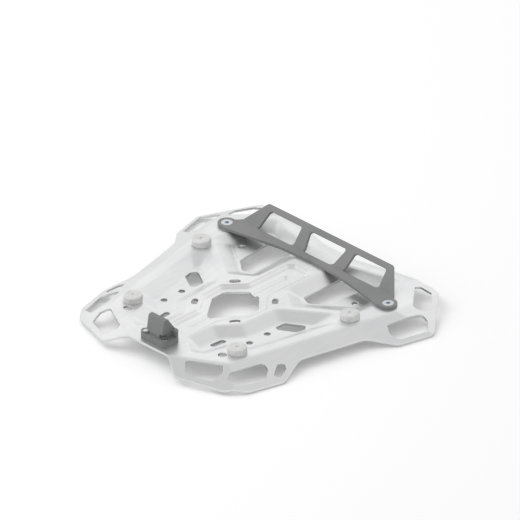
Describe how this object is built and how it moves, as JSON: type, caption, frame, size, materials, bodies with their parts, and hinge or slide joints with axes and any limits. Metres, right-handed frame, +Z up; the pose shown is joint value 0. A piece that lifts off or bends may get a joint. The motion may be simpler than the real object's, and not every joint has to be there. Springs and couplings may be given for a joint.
{
  "type": "top case mounting plate",
  "caption": "Stamped mounting plate for a motorbike top case, with formed pockets, strap slots, a folded front bracket, a moulded rear latch block and push-in rubber buffers.",
  "frame": {"origin": "midway between the two bracket screws, on the plate's flat top face", "axes": "+X forward in riding direction, +Y to the rider's left, +Z up out of the plate's top"},
  "size_m": [0.3038, 0.332, 0.0465],
  "materials": {
    "plate": "satin, light grey",
    "bracket": "powder coated, mid grey",
    "block": "moulded, fine grain",
    "insert": "stainless, turned",
    "rubber": "soft matte, light grey",
    "screw": "zinc plated",
    "nut": "zinc plated"
  },
  "bodies": {
    "root": {"mounting_plate": "plate", "front_bracket": "bracket", "latch_block": "block", "latch_insert_left": "insert", "latch_insert_right": "insert", "latch_insert_front": "insert", "buffer_rear_left": "rubber", "buffer_rear_right": "rubber", "buffer_front_left": "rubber", "buffer_front_right": "rubber", "bracket_screw_left": "screw", "bracket_screw_right": "screw", "latch_screw_left": "screw", "latch_screw_right": "screw", "latch_screw_front": "screw", "press_nut_left": "nut", "press_nut_right": "nut"}
  },
  "joints": []
}
